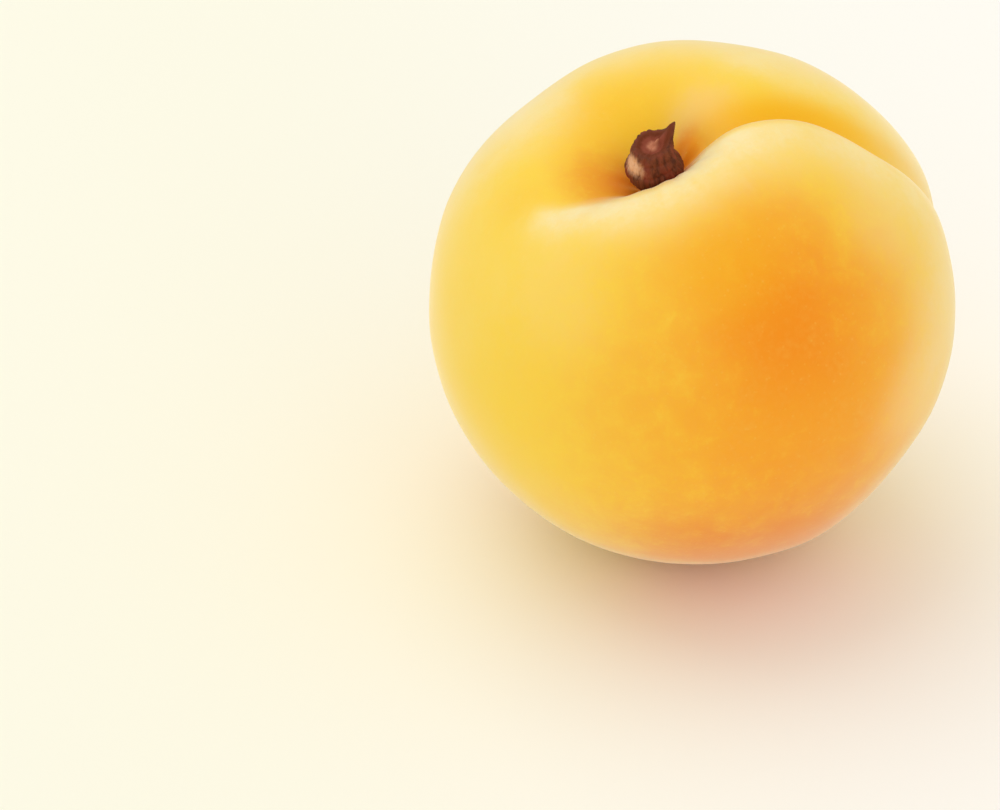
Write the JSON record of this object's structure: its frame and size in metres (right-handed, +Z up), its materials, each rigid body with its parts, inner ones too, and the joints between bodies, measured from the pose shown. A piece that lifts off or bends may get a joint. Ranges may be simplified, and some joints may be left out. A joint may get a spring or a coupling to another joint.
{
  "type": "apricot",
  "caption": "Whole ripe apricot with a deep suture, a stem cavity and the woody stub of its stalk, lying on a small flat spot.",
  "frame": {"origin": "on the resting plane, under the middle of the fruit", "axes": "+Z up as the fruit lies; the stem cavity looks up and leans towards -Y and a little to -X; the suture runs from the cavity down over the +X side"},
  "size_m": [0.0522, 0.0526, 0.0509],
  "materials": {
    "skin": "velvety matte skin, yellow shading to orange",
    "stem_wood": "dry rough bark and torn wood"
  },
  "bodies": {
    "root": {"fruit": "skin", "stem_stub": "stem_wood"}
  },
  "joints": []
}
